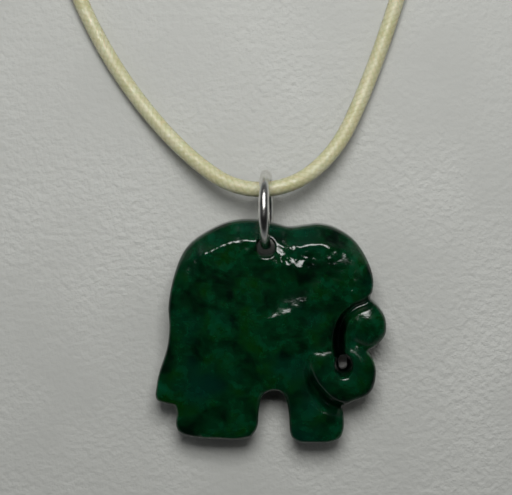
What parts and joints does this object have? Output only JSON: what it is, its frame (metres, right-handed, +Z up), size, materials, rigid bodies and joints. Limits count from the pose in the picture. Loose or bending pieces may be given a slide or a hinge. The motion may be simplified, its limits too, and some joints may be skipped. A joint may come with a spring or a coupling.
{
  "type": "jade elephant pendant necklace",
  "caption": "Flat carved jade elephant on a round silver ring and a thin waxed cord with a hooked clasp, laid flat with the cord coiled.",
  "frame": {"origin": "on the surface, under the middle of the box of the carving and its ring", "axes": "+Z up off the surface the necklace lies on, +Y from the elephant's feet to the ring, +X from its tail to its trunk"},
  "size_m": [0.0507, 0.1174, 0.0104],
  "materials": {
    "jade": "polished dark green jade",
    "silver": "polished silver wire",
    "waxed_cord": "waxed cotton cord",
    "plated_brass": "silver-plated brass",
    "spring_steel": "drawn spring wire"
  },
  "bodies": {
    "necklace": {"cord_front": "waxed_cord", "cord_coil": "waxed_cord", "cord_clasp_tail": "waxed_cord", "cord_chain_tail": "waxed_cord", "clasp_cord_end": "plated_brass", "chain_cord_end": "plated_brass", "clasp_jump_ring": "plated_brass", "extender_chain": "plated_brass", "chain_drop": "plated_brass"},
    "ring": {"bail_ring": "silver"},
    "elephant": {"elephant_carving": "jade"},
    "clasp": {"clasp_body": "plated_brass", "clasp_rivet": "plated_brass", "clasp_spring": "spring_steel"},
    "lever": {"clasp_lever": "plated_brass"}
  },
  "joints": [
    {"name": "ring_swing", "type": "hinge", "parent": "necklace", "child": "ring", "pos_m": [-0.0006, 0.01525, 0.0048], "axis": [-0.9976, -0.0693, 0], "range_deg": [0, 100]},
    {"name": "elephant_swing", "type": "hinge", "parent": "ring", "child": "elephant", "pos_m": [-0.0006, 0.00754, 0.00518], "axis": [0, -0.1186, 0.9929], "range_deg": [-20, 20]},
    {"name": "clasp_swing", "type": "hinge", "parent": "necklace", "child": "clasp", "pos_m": [-0.01399, 0.0884, 0.0014], "axis": [0, 0, 1], "range_deg": [-35, 35]},
    {"name": "lever_open", "type": "hinge", "parent": "clasp", "child": "lever", "pos_m": [-0.01598, 0.09186, 0.0014], "axis": [0, 0, -1], "range_deg": [0, 25], "stiffness_Nm_per_rad": 0.0002, "springref_deg": -17.19}
  ]
}
